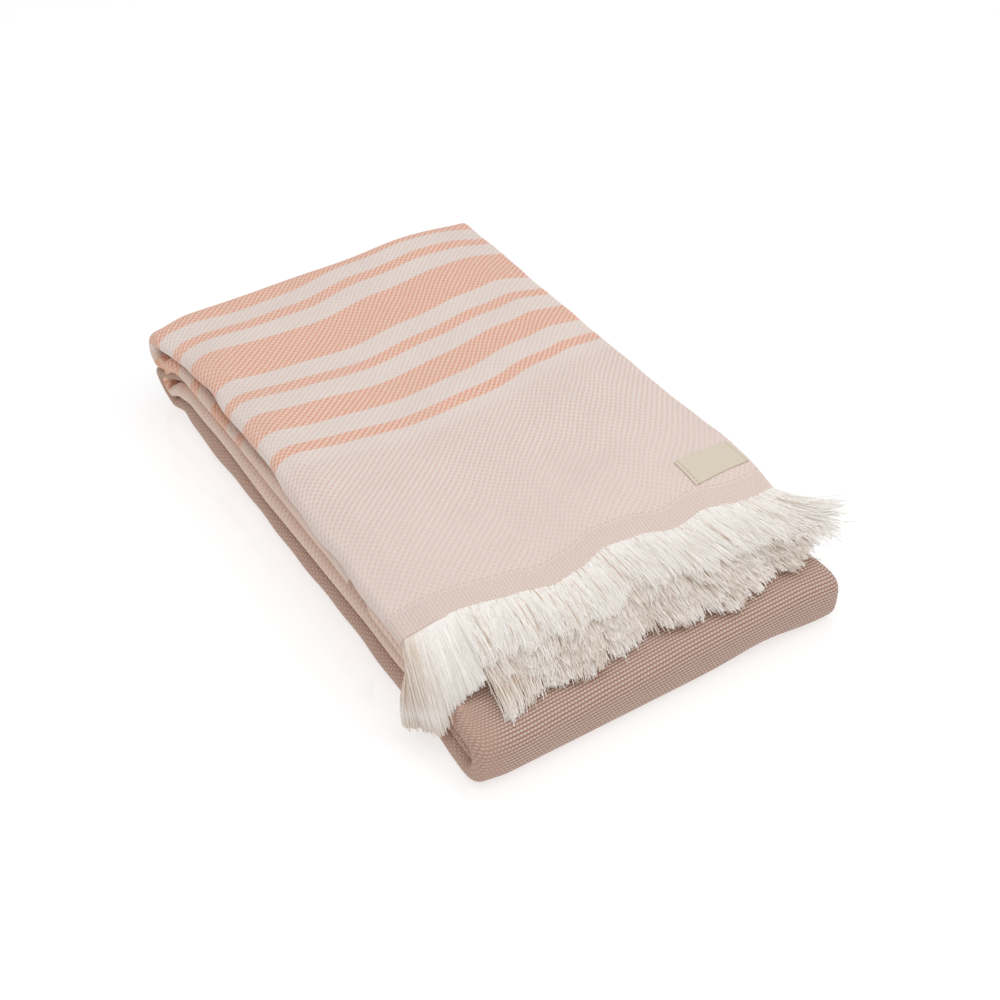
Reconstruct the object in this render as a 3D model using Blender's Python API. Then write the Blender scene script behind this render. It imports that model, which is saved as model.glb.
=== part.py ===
"""A folded hammam towel: one woven cloth with fringed ends and a small sewn-on label.

The cloth is folded in quarters across, then the four-ply strip is folded four times along.
The folded section is swept along the strip's path, so the towel is one closed sheet.
x runs across from left to right, y from the fringed front to the back, z up from the surface.
"""
import math

import bmesh
import bpy
from mathutils import Vector
from mathutils.bvhtree import BVHTree

# Driving dimensions, in metres.
FOLDED_WIDTH = 0.250       # a quarter of the cloth's width
FOLDED_LENGTH = 0.423      # front fold to back folds
CLOTH = 0.0026             # thickness of the soft cloth
PITCH = 0.0042             # from one ply's middle to the next
HEM_END = 0.068            # where the top layer ends and its fringe begins
HEM_SKEW = 0.008           # the hem lies this much further back at the left, nearer at the right
INNER_END = 0.118          # where the hidden end lies, inside the stack
STEP_FRONT = 0.042         # the layers over the hidden end come down between these two
STEP_BACK = 0.122
HEM_LIFT = 0.0035          # air under the fringed hem
FRONT_SQUARENESS = 3.2     # 2 is a round fold, more is squarer
EDGE_ZONE = 0.018          # width of the soft folds along the left side
FREE_EDGE = 0.011          # width of the top ply's drooping right edge
SELVEDGE = 0.001           # the top ply's selvedge ends this far short of the fold under it
MIDDLE_X, MIDDLE_Y = 0.12916, 0.21075   # of the finished towel's outline, which is the origin
SEAT_GAP = 0.0003          # between pieces that touch
BACKING = 0.0025           # strip of yarn roots along each fringed end
LABEL_GAP = 0.0004
LABEL_SIZE = (0.043, 0.021, 0.0008)
LABEL_CORNER = (0.2035, 0.0835)  # its front left corner

# Worked out from these.
STRIP = 4 * PITCH                       # height of one four-ply layer
HALF_STRIP = 1.5 * PITCH + CLOTH / 2
BOTTOM_Z = HALF_STRIP
INNER_Z = BOTTOM_Z + STRIP
SECOND_Z = INNER_Z + STRIP
TOP_Z = SECOND_Z + STRIP
STACK = TOP_Z + HALF_STRIP
FOLD_RADIUS = STRIP / 2
FOLD_REACH = FOLD_RADIUS + HALF_STRIP   # from a fold's centre to its outer face
FRONT_CENTRE = FOLD_REACH
BACK_CENTRE = FOLDED_LENGTH - FOLD_REACH

# The left side's soft folds along the strip. For each place: how far in the right-side-out fold
# ends and how far its upper and lower ply move, then the same for the reverse-side-out fold.
FOLD_COLUMNS = ("right_x", "ply_0", "ply_1", "reverse_x", "ply_3", "ply_2")
LEFT_FOLDS = {
    "top": {0.068: (-0.004, -0.003, -0.014, 0.019, 0, 0),
            0.150: (-0.003, -0.003, -0.016, 0.019, 0, 0),
            0.260: (-0.005, -0.004, -0.017, 0.019, 0, 0),
            0.350: (-0.003, -0.003, -0.015, 0.019, 0, 0),
            0.385: (-0.002, 0, 0, 0.016, 0, 0),
            0.407: (-0.001, 0, 0, 0.008, 0, 0)},
    "back_top": {0.0: (-0.001, 0, 0, 0.008, 0, 0),
                 1.0: (0.002, 0, 0, 0.007, 0, 0)},
    "second": {0.407: (0.002, 0, 0, 0.007, 0, 0),
               0.385: (0.019, 0, 0, 0.019, 0, 0),
               0.060: (0.019, 0, 0, 0.019, 0, 0),
               0.016: (0.006, 0, 0, 0.004, 0, 0)},
    "front": {0.0: (0.006, 0, 0, 0.004, 0, 0),
              1.0: (0.005, 0, 0, -0.001, 0, 0)},
    "bottom": {0.016: (0.005, 0, 0, -0.001, 0, 0),
               0.055: (0.003, 0.011, 0.010, 0.000, 0.010, 0),
               0.130: (0.004, 0.008, 0.0075, 0.001, 0.008, 0),
               0.240: (0.004, 0.008, 0.0075, 0.002, 0.008, 0),
               0.350: (0.005, 0.008, 0.0075, 0.0025, 0.008, 0),
               0.385: (0.006, 0, 0, 0.003, 0, 0),
               0.407: (0.007, 0, 0, 0.004, 0, 0)},
    "back_bottom": {0.0: (0.007, 0, 0, 0.004, 0, 0),
                    1.0: (0.006, 0, 0, 0.006, 0, 0)},
    "inner": {0.407: (0.006, 0, 0, 0.006, 0, 0),
              0.385: (0.004, 0, 0, 0.019, 0, 0),
              0.350: (0.002, -0.0095, -0.0125, 0.019, 0, 0),
              0.240: (0.000, -0.0095, -0.0125, 0.019, 0, 0),
              0.118: (0.002, -0.0090, -0.0115, 0.019, 0, 0)},
}
# Each ply's locks: how far they reach forward, where their ends come to lie, how they spread at
# the right, and the same for the hidden fringe.
LOCK_TIERS = {
    "ply_0": {"reach": 0.035, "tip_z": 0.0476, "splay": 0.024, "hidden_z": 0.0171},
    "ply_1": {"reach": 0.042, "tip_z": 0.0431, "splay": 0.013, "hidden_z": 0.0194},
    "ply_3": {"reach": 0.047, "tip_z": 0.0388, "splay": 0.008, "hidden_z": 0.0217},
    "ply_2": {"reach": 0.053, "tip_z": 0.0348, "splay": 0.005, "hidden_z": 0.0240},
}
HIDDEN_REACH = 0.034
LIP_START = 0.028          # left of this the top ply's locks fall over the left side
# Ends of those locks, from the first, which still lies on the layers, to the last one round the
# fold, which hangs down the side.
DRAPE_TIPS = {0.00: (0.0250, 0.0361, 0.0430), 0.20: (0.0160, 0.0365, 0.0380),
              0.38: (0.0075, 0.0375, 0.0290), 0.50: (0.0020, 0.0350, 0.0220),
              0.62: (-0.0040, 0.0335, 0.0175), 0.80: (-0.0080, 0.0445, 0.0140),
              1.00: (-0.0155, 0.0535, 0.0130)}
# Where the sheet bends, across the plies and along the layers. All plies share these places, so
# that they sag alike and stay apart.
STATIONS = (0.224, 0.185, 0.130, 0.080, 0.022, 0.014, 0.009)
LEG_PLACES = {
    "top": (0.068, 0.085, 0.103, 0.122, 0.150, 0.260, 0.350, 0.368, 0.385, 0.407),
    "second": (0.407, 0.385, 0.350, 0.240, 0.150, 0.122, 0.103, 0.085, 0.065, 0.042, 0.016),
    "bottom": (0.016, 0.030, 0.055, 0.130, 0.240, 0.350, 0.368, 0.385, 0.407),
    "inner": (0.407, 0.385, 0.368, 0.350, 0.240, 0.130, 0.118),
}
TURN_STEPS = {"back_top": 6, "front": 8, "back_bottom": 6}
PATH = ("top", "back_top", "second", "front", "bottom", "back_bottom", "inner")


def ease(value):
    """Smooth rise from 0 to 1."""
    value = min(max(value, 0.0), 1.0)
    return value * value * (3.0 - 2.0 * value)


def blend(low, high, share):
    return low + (high - low) * share


def left_folds(leg, place):
    """The left side's fold values at one place of a leg, between the rows of its table."""
    rows = sorted(LEFT_FOLDS[leg].items())
    below = max((row for row in rows if row[0] <= place + 1e-9), default=rows[0])
    above = min((row for row in rows if row[0] >= place - 1e-9), default=rows[-1])
    span = above[0] - below[0]
    share = ease((place - below[0]) / span) if span > 0 else 0.0
    values = [blend(low, high, share) for low, high in zip(below[1], above[1])]
    return dict(zip(FOLD_COLUMNS, values))


def second_height(y):
    """Middle of the second layer, which steps down in front of the hidden end."""
    return blend(INNER_Z, SECOND_Z, ease((y - STEP_FRONT) / (STEP_BACK - STEP_FRONT)))


def top_height(y):
    """Middle of the top layer, which rides on the second and lifts a little at its hem."""
    return second_height(y) + STRIP + HEM_LIFT * ease((STEP_BACK - y) / (STEP_BACK - HEM_END))


def hem_end(x):
    """The hem's end in y: it lies slightly askew."""
    return HEM_END + HEM_SKEW * (1.0 - 2.0 * x / FOLDED_WIDTH)


def fold_point(centre_y, centre_z, facing, turn, radius, squareness):
    """A point of a half-round fold; facing is +1 at the back and -1 at the front."""
    out, up = math.sin(turn), math.cos(turn)
    scale = (abs(out) ** squareness + abs(up) ** squareness) ** (-1.0 / squareness)
    return centre_y + facing * radius * scale * out, centre_z + radius * scale * up


def sheet_point(leg, share, x, offset):
    """World y and z of a strip point: share runs along the leg, offset across the four plies."""
    turn = math.pi * share
    if leg == "back_top":
        return fold_point(BACK_CENTRE, (TOP_Z + SECOND_Z) / 2, 1, turn, FOLD_RADIUS + offset, 2.0)
    if leg == "front":
        return fold_point(FRONT_CENTRE, (INNER_Z + BOTTOM_Z) / 2, -1, turn, FOLD_RADIUS - offset,
                          FRONT_SQUARENESS)
    if leg == "back_bottom":
        return fold_point(BACK_CENTRE, (INNER_Z + BOTTOM_Z) / 2, 1, math.pi - turn,
                          FOLD_RADIUS - offset, 2.0)
    if leg == "bottom":
        return blend(FRONT_CENTRE, BACK_CENTRE, share), BOTTOM_Z + offset
    if leg == "inner":
        return blend(BACK_CENTRE, INNER_END, share), INNER_Z - offset
    if leg == "top":
        y, height, up = blend(hem_end(x), BACK_CENTRE, share), top_height, 1.0
    else:
        y, height, up = blend(BACK_CENTRE, FRONT_CENTRE, share), second_height, -1.0
    step = 0.001
    slope = (height(y + step) - height(y - step)) / (2 * step)
    lean = up * offset / math.hypot(1.0, slope)
    sideways = ease(share / 0.15) if leg == "top" else 1.0
    return y - slope * lean * sideways, height(y) + lean


def settle(x, y, z):
    """The stack's soft unevenness: a valley left of the middle, a crown and a drooping right side."""
    near_hem, near_back = ease((0.150 - y) / 0.085), ease((y - 0.300) / 0.090)
    valley = -0.0030 * math.exp(-((x - 0.100) / 0.050) ** 2) * (1.0 - near_back)
    crown = blend(0.0010, 0.0028, near_back) * math.exp(-((x - 0.195) / 0.035) ** 2)
    droop = -0.0035 * ease((x - 0.222) / 0.034) * (1.0 - 0.6 * near_back)
    tilt = near_hem * blend(-0.0025, 0.0055, x / FOLDED_WIDTH)
    corner = ease((0.030 - x) / 0.032) * ease((y - 0.345) / 0.045)
    share = max(z, 0.0) / STACK
    lift = 0.0035 * math.exp(-((x - 0.195) / 0.026) ** 2) * ease((0.045 - y) / 0.040)
    low = max(1.0 - share * 2.0, 0.0)
    pinch = corner * (0.0050 * math.sin(math.pi * min(share, 1.0)) - 0.0035 * share)
    return z + (valley + crown + droop + tilt) * share ** 1.5 + lift * low + pinch


def drift(x, y):
    """How far the folds' ends stray in y from straight lines."""
    front = ease((0.060 - y) / 0.050)
    back = 0.003 * ease((y - 0.300) / 0.100) * ease(x / 0.150)
    back -= 0.004 * ease((y - 0.345) / 0.060) * ease((0.026 - x) / 0.028)
    return back - front * (0.003 * ease((x + 0.004) / 0.024) + 0.0015 * ease((x - 0.200) / 0.035))


def leg_stations(leg):
    """Each ring of a leg, as its place in the fold table and its share of the leg."""
    if leg in TURN_STEPS:
        steps = TURN_STEPS[leg]
        return [(i / steps, i / steps) for i in range(steps + 1)]
    places = LEG_PLACES[leg]
    return [(place, (place - places[0]) / (places[-1] - places[0])) for place in places]


def cloth_places(ply, start, end):
    """The shared stations of a ply, drawn together before a left fold that ends early."""
    begin = [start, start - FREE_EDGE] if ply == 0 else [start]
    count = len(STATIONS)
    return begin + [max(x, end + 0.0015 * (count - i)) for i, x in enumerate(STATIONS)]


def fringe_places(counts):
    """Even, narrow places for the locks of each ply, and six more in the soft edge zone."""
    def places(ply, start, end):
        knee = max(EDGE_ZONE + 0.004, end + 0.008)
        run = [blend(start, knee, i / counts[ply]) for i in range(counts[ply])]
        return run + [blend(knee, end, i / 6) for i in range(6)]
    return places


def left_turn(left_x, upper, upper_shift, lower, lower_shift, steps):
    """A half-round left fold from one ply to the other, with its centre's x."""
    reach = min(abs(upper + upper_shift - lower - lower_shift) / 2, 0.006)
    centre = left_x + reach
    zone = ease((EDGE_ZONE - centre) / EDGE_ZONE)
    first, last = upper + upper_shift * zone, lower + lower_shift * zone
    turns = [math.pi * i / steps for i in range(steps + 1)]
    middle, half = (first + last) / 2, (first - last) / 2
    return centre, [(centre - reach * math.sin(t), middle + half * math.cos(t)) for t in turns]


def section(folds, places, turn_steps):
    """Centre line of the folded plies as (stretch, x, offset) from the top ply's right selvedge."""
    levels = [1.5 * PITCH, 0.5 * PITCH, -1.5 * PITCH, -0.5 * PITCH]
    right_c, right_arc = left_turn(folds["right_x"], levels[0], folds["ply_0"], levels[1],
                                   folds["ply_1"], turn_steps)
    reverse_c, reverse_arc = left_turn(folds["reverse_x"], levels[2], folds["ply_2"], levels[3],
                                       folds["ply_3"], turn_steps)
    turn_x = FOLDED_WIDTH - PITCH
    right_turn = [(turn_x + PITCH * math.sin(math.pi * i / 4),
                   -0.5 * PITCH + PITCH * math.cos(math.pi * i / 4)) for i in range(1, 4)]
    runs = []
    for ply, (start, end) in enumerate(((FOLDED_WIDTH - SELVEDGE, right_c), (turn_x, right_c),
                                        (turn_x, reverse_c), (FOLDED_WIDTH - 2 * PITCH, reverse_c))):
        shift = folds["ply_%d" % ply]
        runs.append([(x, levels[ply] + shift * ease((EDGE_ZONE - x) / EDGE_ZONE))
                     for x in places(ply, start, end)])
    stretches = (("ply_0", runs[0]), ("lip", right_arc), ("ply_1", runs[1][::-1]),
                 ("right", right_turn), ("ply_2", runs[2]), ("curl", reverse_arc),
                 ("ply_3", runs[3][::-1]))
    return [(name, x, offset) for name, points in stretches for x, offset in points]


def outline(line, thickness):
    """Both faces of a sheet that follows a centre line: one run of points there and back."""
    upper, lower = [], []
    for i, (_, x, offset) in enumerate(line):
        before, after = line[max(i - 1, 0)], line[min(i + 1, len(line) - 1)]
        into = Vector((x - before[1], offset - before[2]))
        out = Vector((after[1] - x, after[2] - offset))
        into = into.normalized() if into.length > 0 else out.normalized()
        out = out.normalized() if out.length > 0 else into
        along = (into + out).normalized()
        stretch = 1.0 / max(along.dot(out), 0.75)
        normal = Vector((-along.y, along.x)) * stretch * thickness / 2
        upper.append((x + normal.x, offset + normal.y))
        lower.append((x - normal.x, offset - normal.y))
    return upper + lower[::-1]


def placed(x, y, z):
    """A point of the flat-lying stack, settled and moved to the part's own frame."""
    return Vector((x - MIDDLE_X, y + drift(x, y) - MIDDLE_Y, settle(x, y, z)))


def add_ring(mesh, points, leg, share, shift_y=0.0):
    """One ring of vertices of the swept sheet."""
    ring = []
    for x, offset in points:
        y, z = sheet_point(leg, share, x, offset)
        ring.append(mesh.verts.new(placed(x, y + shift_y, z)))
    return ring


def join_rings(mesh, first, second):
    """Quads between two rings with as many vertices."""
    for i, vertex in enumerate(first):
        j = (i + 1) % len(first)
        mesh.faces.new((vertex, first[j], second[j], second[i]))


def end_cell(ring, i):
    """The four vertices round one stretch of a sheet's end."""
    last = len(ring) - 1
    return ring[i], ring[i + 1], ring[last - i - 1], ring[last - i]


def cap_ring(mesh, ring, skipped=()):
    """Closes an end with quads from one face of the sheet to the other."""
    for i in range(len(ring) // 2 - 1):
        if i not in skipped:
            mesh.faces.new(end_cell(ring, i))


def curve_point(handles, share):
    """A point of a cubic curve with four handles."""
    rest = 1.0 - share
    weights = (rest ** 3, 3 * rest * rest * share, 3 * rest * share * share, share ** 3)
    return sum((handle * weight for handle, weight in zip(handles, weights)), Vector())


def add_lock(mesh, cell, handles, rings, end_share):
    """Draws one four-sided lock out of a cell of the backing, thinner towards its cut end."""
    across = cell[1].co - cell[0].co
    width = across.length
    across.normalize()
    last = cell
    for k in range(1, rings + 1):
        share = k / rings
        here = curve_point(handles, share)
        along = (here - curve_point(handles, share - 0.05)).normalized()
        wide = (across - along * across.dot(along)).normalized()
        thick = along.cross(wide)
        if thick.dot(cell[0].co - cell[3].co) < 0:
            thick.negate()
        thick *= CLOTH / 2 * blend(0.85, end_share, share)
        wide *= width / 2 * blend(0.95, 0.7, share)
        centre = placed(*here)
        ring = [mesh.verts.new(centre + side) for side in
                (thick - wide, thick + wide, wide - thick, -wide - thick)]
        join_rings(mesh, last, ring)
        last = ring
    mesh.faces.new(last)


def front_lock(name, x, y, z, lip_share):
    """Handles of a lock of the front fringe: forward over the layers, or down over the left side."""
    tier = LOCK_TIERS[name]
    splay = tier["splay"] * ease((x - 0.200) / 0.050)
    tip = Vector((x + splay, y - tier["reach"], tier["tip_z"]))
    fall = z - tip.z
    root, leave = Vector((x, y, z)), Vector((x, y - tier["reach"] / 3, z - 0.1 * fall))
    arrive = Vector((blend(x, tip.x, 0.6), tip.y + tier["reach"] / 3, tip.z + 0.35 * fall))
    if lip_share > 0.0:
        rows = sorted(DRAPE_TIPS.items())
        below = max(row for row in rows if row[0] <= lip_share)
        above = min(row for row in rows if row[0] >= lip_share)
        share = (lip_share - below[0]) / max(above[0] - below[0], 1e-9)
        tip = Vector(below[1]).lerp(Vector(above[1]), share)
        leave = root + Vector((-0.004 * ease(lip_share * 1.5), -0.013, 0.0))
        arrive = tip + Vector((-0.001, 0.006, 0.004 + 0.014 * ease(lip_share * 2.0)))
    return root, leave, arrive, tip


def inner_lock(name, x, y, z, lip_share):
    """Handles of a lock of the hidden fringe: forward in the space before the hidden end."""
    tier = LOCK_TIERS[name]
    root, tip = Vector((x, y, z)), Vector((x, y - HIDDEN_REACH, tier["hidden_z"]))
    return root, root.lerp(tip, 1 / 3), root.lerp(tip, 2 / 3), tip


def make_fringe(name, leg, share, counts, handles_of, rings, end_share, lip):
    """A fringe: locks of yarn on a narrow strip of roots that is folded like the hem before it."""
    mesh = bmesh.new()
    ends = {"top": HEM_END, "inner": INNER_END}
    line = section(left_folds(leg, ends[leg]), fringe_places(counts), 8)
    points = outline(line, CLOTH)
    back = add_ring(mesh, points, leg, share, -SEAT_GAP)
    front = add_ring(mesh, points, leg, share, -SEAT_GAP - BACKING)
    join_rings(mesh, back, front)
    cap_ring(mesh, back)
    lip_start = next(i for i, point in enumerate(line) if point[1] < LIP_START)
    lip_end = max(i for i, point in enumerate(line) if point[0] == "lip")
    roots = {}
    for i in range(0, len(line) - 1, 2):
        stretch, x, offset = [(a + b) / 2 if k else a
                              for k, (a, b) in enumerate(zip(line[i], line[i + 1]))]
        on_lip = lip and lip_start <= i < lip_end
        if on_lip or (stretch in LOCK_TIERS and line[i + 1][0] == stretch and x > LIP_START):
            lip_share = (i + 1 - lip_start) / (lip_end - lip_start) if on_lip else 0.0
            y, z = sheet_point(leg, share, x, offset)
            roots[i] = handles_of("ply_0" if on_lip else stretch, x, y - SEAT_GAP - BACKING, z,
                                  lip_share)
    cap_ring(mesh, front, roots)
    for i, handles in roots.items():
        add_lock(mesh, end_cell(front, i), handles, rings, end_share)
    return make_object(name, mesh, make_material("cotton yarn", (0.86, 0.83, 0.77), 0.85))


def make_material(name, colour, roughness):
    material = bpy.data.materials.new(name)
    material.use_nodes = True
    shader = material.node_tree.nodes["Principled BSDF"]
    shader.inputs["Base Color"].default_value = (*colour, 1.0)
    shader.inputs["Roughness"].default_value = roughness
    shader.inputs["Metallic"].default_value = 0.0
    return material


def make_object(name, mesh, material):
    bmesh.ops.recalc_face_normals(mesh, faces=mesh.faces)
    if mesh.calc_volume(signed=True) < 0:
        bmesh.ops.reverse_faces(mesh, faces=mesh.faces)
    data = bpy.data.meshes.new(name)
    mesh.to_mesh(data)
    mesh.free()
    data.materials.append(material)
    data.shade_smooth()
    data.set_sharp_from_angle(angle=math.radians(50))
    piece = bpy.data.objects.new(name, data)
    bpy.context.scene.collection.objects.link(piece)
    return piece


def make_cloth():
    """The one woven cloth, folded both ways, with its hems."""
    mesh = bmesh.new()
    rings = []
    for leg in PATH:
        for place, share in leg_stations(leg)[0 if leg == "top" else 1:]:
            line = section(left_folds(leg, place), cloth_places, 4)
            rings.append(add_ring(mesh, outline(line, CLOTH), leg, share))
    for first, second in zip(rings, rings[1:]):
        join_rings(mesh, first, second)
    cap_ring(mesh, rings[0])
    cap_ring(mesh, rings[-1])
    return make_object("towel_cloth", mesh, make_material("woven cotton", (0.80, 0.66, 0.60), 0.9))


def make_label(cloth):
    """The small woven label, a thin plate that lies on the cloth near the front right corner."""
    ground = BVHTree.FromObject(cloth, bpy.context.evaluated_depsgraph_get())
    width, length, thickness = LABEL_SIZE
    across, along = 10, 5
    mesh = bmesh.new()
    grid = {}
    for i in range(across + 1):
        for j in range(along + 1):
            x = LABEL_CORNER[0] + width * i / across - MIDDLE_X
            y = LABEL_CORNER[1] + length * j / along - MIDDLE_Y
            z = ground.ray_cast(Vector((x, y, 2 * STACK)), Vector((0, 0, -1)))[0].z + LABEL_GAP
            grid[i, j] = [mesh.verts.new((x, y, z + rise)) for rise in (0.0, thickness)]
    for i in range(across):
        for j in range(along):
            for side in (0, 1):
                mesh.faces.new([grid[i + di, j + dj][side]
                                for di, dj in ((0, 0), (1, 0), (1, 1), (0, 1))])
    rim = [(i, 0) for i in range(across)] + [(across, j) for j in range(along)]
    rim += [(i, along) for i in range(across, 0, -1)] + [(0, j) for j in range(along, 0, -1)]
    for here, after in zip(rim, rim[1:] + rim[:1]):
        mesh.faces.new(grid[here] + grid[after][::-1])
    return make_object("label", mesh, make_material("woven label", (0.78, 0.71, 0.60), 0.8))


def clear_scene():
    for piece in list(bpy.data.objects):
        bpy.data.objects.remove(piece, do_unlink=True)


clear_scene()
towel = make_cloth()
make_fringe("front_fringe", "top", 0.0, (84, 46, 52, 38), front_lock, 3, 0.55, lip=True)
make_fringe("inner_fringe", "inner", 1.0, (28, 16, 20, 14), inner_lock, 2, 0.40, lip=False)
bpy.context.view_layer.update()
make_label(towel)
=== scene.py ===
"""A folded hammam towel: one woven cotton cloth with loose fringes and a small blank label.

The scene follows the towel as it is made: the cloth is woven, hemmed and folded, then come the
fringe at the end that shows, the fringe that the fold hides, and the label sewn on last. The
floor, the light and the camera close the file.
"""
import math
import random

import bmesh
import bpy
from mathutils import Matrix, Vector
from mathutils.bvhtree import BVHTree


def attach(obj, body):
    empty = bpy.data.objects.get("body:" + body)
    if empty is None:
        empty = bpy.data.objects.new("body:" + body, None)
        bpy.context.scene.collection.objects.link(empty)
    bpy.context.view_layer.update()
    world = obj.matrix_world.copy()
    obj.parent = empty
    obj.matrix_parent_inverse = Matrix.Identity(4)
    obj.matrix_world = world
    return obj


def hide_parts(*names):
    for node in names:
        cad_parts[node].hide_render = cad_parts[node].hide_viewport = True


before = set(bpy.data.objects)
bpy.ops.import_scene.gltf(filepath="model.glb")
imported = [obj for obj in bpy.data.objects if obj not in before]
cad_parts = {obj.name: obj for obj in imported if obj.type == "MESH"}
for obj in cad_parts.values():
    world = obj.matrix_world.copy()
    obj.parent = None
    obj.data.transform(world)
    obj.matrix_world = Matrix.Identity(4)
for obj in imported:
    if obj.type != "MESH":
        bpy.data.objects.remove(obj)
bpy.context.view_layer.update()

# --- The cloth ----------------------------------------------------------------------------------
# One panel of soft cotton, 100 by 149 cm, pale pink with orange stripes near both ends on its
# right side and ribbed greige on its reverse. It is folded in quarters across, right side out,
# and the four-ply strip is folded four times along, so the whole stack is one swept sheet.

FOLDED_WIDTH = 0.250        # a quarter of the cloth's width
FOLDED_LENGTH = 0.423       # front fold to back folds
CLOTH = 0.0024              # thickness of the soft cloth
PITCH = 0.0042              # from one ply's middle to the next
HEM_END = 0.068             # where the top layer ends and its fringe begins
HEM_SKEW = 0.008            # the hem lies this much further back at the left, nearer at the right
INNER_END = 0.136           # where the hidden end lies, inside the stack
STEP_FRONT, STEP_BACK = 0.042, 0.122   # the layers over the hidden end come down between these
# The hem's edge waves: how far forward of a straight line it lies at each place across.
HEM_WAVER = {0.000: (0.0,), 0.035: (0.0,), 0.069: (0.0030,), 0.092: (0.0060,), 0.110: (0.0025,),
             0.132: (-0.0040,), 0.152: (-0.0025,), 0.176: (0.0032,), 0.199: (-0.0015,),
             0.226: (0.0028,), 0.250: (0.0,)}
HEM_LIFT = 0.0035           # air under the fringed hem
FRONT_SQUARENESS = 3.2      # 2 is a round fold, more is squarer
EDGE_ZONE = 0.022           # width of the soft folds along the left side
SELVEDGE = 0.001            # the top ply's selvedge ends this far short of the fold under it
MIDDLE_X, MIDDLE_Y = 0.12916, 0.21075  # of the finished towel's outline, which is the origin

STRIP = 4 * PITCH
HALF_STRIP = 1.5 * PITCH + CLOTH / 2
BOTTOM_Z = 0.0076
INNER_Z, SECOND_Z, TOP_Z = (BOTTOM_Z + STRIP * layer for layer in (1, 2, 3))
STACK = TOP_Z + HALF_STRIP
FOLD_RADIUS = STRIP / 2
FRONT_CENTRE = 0.016
BACK_CENTRE = FOLDED_LENGTH - 0.016

# The left side's soft folds along the strip. For each place: how far in the right-side-out fold
# ends and how far its upper and lower ply move, then the same for the reverse-side-out fold.
FOLD_COLUMNS = ("right_x", "ply_0", "ply_1", "reverse_x", "ply_3", "ply_2")
LEFT_FOLDS = {
    "top": {0.068: (-0.0010, -0.004, -0.009, 0.019, 0, 0),
            0.110: (-0.0035, -0.004, -0.009, 0.019, 0, 0),
            0.160: (-0.0015, -0.004, -0.009, 0.019, 0, 0),
            0.215: (0.0010, -0.004, -0.009, 0.019, 0, 0),
            0.260: (0.0035, -0.004, -0.010, 0.019, 0, 0),
            0.330: (0.0050, -0.004, -0.011, 0.019, 0, 0),
            0.365: (0.0030, -0.003, -0.010, 0.018, 0, 0),
            0.388: (0.0005, 0, -0.006, 0.014, 0, 0),
            0.407: (-0.0022, 0, -0.005, 0.012, 0, 0)},
    "back_top": {0.0: (-0.0022, 0, -0.005, 0.012, 0, 0),
                 1.0: (-0.0045, 0, -0.004, 0.010, 0, 0)},
    "second": {0.407: (-0.0045, 0, -0.004, 0.010, 0, 0),
               0.388: (0.006, 0, -0.002, 0.016, 0, 0),
               0.370: (0.019, 0, 0, 0.019, 0, 0),
               0.155: (0.019, 0, 0, 0.019, 0, 0),
               0.112: (-0.001, -0.004, -0.011, 0.019, 0, 0),
               0.075: (0.001, -0.005, -0.014, 0.019, 0, 0),
               0.050: (0.003, -0.004, -0.009, 0.012, 0, 0),
               0.016: (0.004, 0, -0.001, 0.001, 0.003, 0)},
    "front": {0.0: (0.004, 0, -0.001, 0.001, 0.003, 0),
              1.0: (0.004, 0.001, 0, -0.001, 0.004, 0)},
    "bottom": {0.016: (0.004, 0.001, 0, -0.001, 0.004, 0),
               0.055: (0.003, 0.013, 0.010, 0.000, 0.010, 0),
               0.090: (0.002, 0.018, 0.010, 0.000, 0.009, 0),
               0.130: (0.0025, 0.022, 0.011, 0.001, 0.009, 0),
               0.250: (0.0030, 0.022, 0.011, 0.0025, 0.009, 0),
               0.335: (0.0060, 0.026, 0.014, 0.0030, 0.012, 0),
               0.375: (0.0050, 0.024, 0.013, 0.0042, 0.012, 0),
               0.395: (0.0030, 0.016, 0.007, 0.0055, 0.008, 0),
               0.407: (0.0020, 0.002, 0, 0.0035, 0, 0)},
    "back_bottom": {0.0: (0.0020, 0.002, 0, 0.0035, 0, 0),
                    1.0: (0.0010, -0.006, -0.008, -0.0030, 0, 0)},
    "inner": {0.407: (0.0010, -0.006, -0.008, -0.0030, 0, 0),
              0.397: (-0.0010, -0.022, -0.027, 0.006, 0, 0),
              0.375: (0.0025, -0.028, -0.034, 0.021, 0, 0),
              0.335: (0.0060, -0.029, -0.034, 0.022, 0, 0),
              0.250: (0.0035, -0.026, -0.031, 0.022, 0, 0),
              0.210: (0.0010, -0.026, -0.030, 0.022, 0, 0),
              0.136: (-0.0020, -0.026, -0.030, 0.022, 0, 0)},
}
# The order of the path, with each stretch's two ends and its number of steps.
LEGS = {"top": (HEM_END, BACK_CENTRE, 84), "back_top": (0.0, 1.0, 20),
        "second": (BACK_CENTRE, FRONT_CENTRE, 44), "front": (0.0, 1.0, 22),
        "bottom": (FRONT_CENTRE, BACK_CENTRE, 70), "back_bottom": (0.0, 1.0, 20),
        "inner": (BACK_CENTRE, INNER_END, 50)}
FLAT_STEPS = (34, 14, 22, 12)          # across each ply
EDGE_STEPS, TURN_STEPS = 8, 12         # in the soft edge zone, round a left fold
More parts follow.
